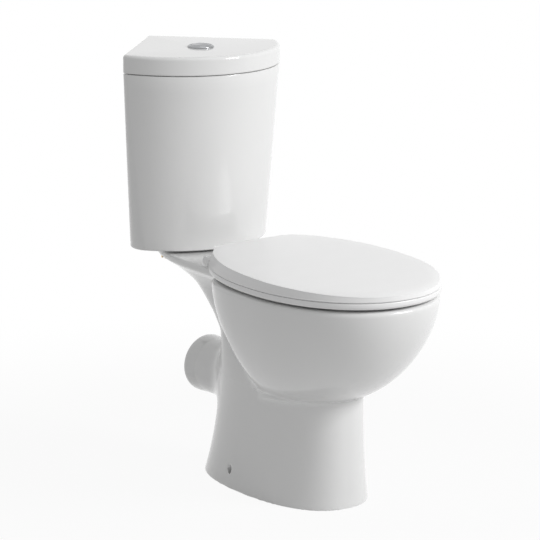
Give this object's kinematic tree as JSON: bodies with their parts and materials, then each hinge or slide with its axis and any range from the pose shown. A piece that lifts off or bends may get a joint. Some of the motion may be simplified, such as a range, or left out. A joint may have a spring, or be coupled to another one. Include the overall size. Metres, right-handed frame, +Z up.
{
  "type": "corner toilet",
  "caption": "Close-coupled toilet with a wedge cistern for a room corner, oval bowl on a pedestal, hinged seat and cover, and a split push button.",
  "frame": {"origin": "on the floor, midway between the seat's nose and the rounded corner of the cistern, on the centre plane", "axes": "+X to the right seen from the front, +Y towards the corner of the room, +Z up; the bowl faces -Y"},
  "size_m": [0.358, 0.8031, 0.793],
  "materials": {
    "pan_ceramic": "white gloss glaze",
    "cistern_ceramic": "white gloss glaze",
    "seat_plastic": "white gloss moulding",
    "hinge_plastic": "white moulding",
    "buffer_rubber": "pale matt rubber",
    "seal_rubber": "black matt rubber",
    "pin_steel": "plain steel",
    "fixing_plastic": "white matt moulding",
    "valve_plastic": "off-white moulding",
    "fill_head_plastic": "blue moulding",
    "button_chrome": "bright chrome plate",
    "coupling_brass": "plain brass"
  },
  "bodies": {
    "toilet": {"pan": "pan_ceramic", "cistern_body": "cistern_ceramic", "hinge_posts": "hinge_plastic", "hinge_pins": "pin_steel", "seat_studs": "fixing_plastic", "seat_washers": "seal_rubber", "seat_wing_nuts": "fixing_plastic", "flush_valve_base": "valve_plastic", "flush_valve_tower": "valve_plastic", "flush_valve_washer": "seal_rubber", "flush_valve_backnut": "valve_plastic", "coupling_plate": "pin_steel", "doughnut_gasket": "seal_rubber", "coupling_bolts": "coupling_brass", "coupling_seals": "seal_rubber", "coupling_washers": "pin_steel", "coupling_wing_nuts": "coupling_brass", "fill_valve_shank": "valve_plastic", "fill_valve_head": "fill_head_plastic", "float_pin": "pin_steel", "fill_valve_washer": "seal_rubber", "fill_valve_backnut": "fixing_plastic"},
    "seat_ring": {"seat_ring": "seat_plastic", "ring_buffers": "buffer_rubber"},
    "seat_cover": {"seat_cover": "seat_plastic", "cover_buffers": "buffer_rubber"},
    "cistern_lid": {"cistern_lid": "cistern_ceramic", "button_bezel": "button_chrome", "button_lock_nut": "fixing_plastic"},
    "full_flush_button": {"full_flush_button": "button_chrome", "full_flush_rod": "fixing_plastic"},
    "half_flush_button": {"half_flush_button": "button_chrome", "half_flush_rod": "fixing_plastic"},
    "overflow_tube": {"overflow_tube": "valve_plastic", "flush_seal": "seal_rubber"},
    "float_arm": {"float_arm": "fixing_plastic", "float_link": "pin_steel", "float_cup": "fixing_plastic"}
  },
  "joints": [
    {"name": "seat_ring_hinge", "type": "hinge", "parent": "toilet", "child": "seat_ring", "pos_m": [0, 0.051, 0.4205], "axis": [-1, 0, 0], "range_deg": [0, 95]},
    {"name": "seat_cover_hinge", "type": "hinge", "parent": "seat_ring", "child": "seat_cover", "pos_m": [0, 0.051, 0.4205], "axis": [1, 0, 0], "range_deg": [-95, 0]},
    {"name": "cistern_lid_lift", "type": "slide", "parent": "toilet", "child": "cistern_lid", "axis": [0, 0, 1], "range_m": [0, 0.15]},
    {"name": "full_flush_press", "type": "slide", "parent": "cistern_lid", "child": "full_flush_button", "axis": [0, 0, -1], "range_m": [0, 0.006], "stiffness_N_per_m": 500, "springref_m": -0.01},
    {"name": "half_flush_press", "type": "slide", "parent": "cistern_lid", "child": "half_flush_button", "axis": [0, 0, -1], "range_m": [0, 0.006], "stiffness_N_per_m": 400, "springref_m": -0.01},
    {"name": "overflow_lift", "type": "slide", "parent": "toilet", "child": "overflow_tube", "axis": [0, 0, 1], "range_m": [0, 0.024]},
    {"name": "float_swing", "type": "hinge", "parent": "toilet", "child": "float_arm", "pos_m": [0.09844, 0.25156, 0.68], "axis": [0.7071, 0.7071, 0], "range_deg": [0, 18]}
  ],
  "couplings": [
    {"joint": "overflow_lift", "follows": "full_flush_press", "ratio": 4}
  ]
}
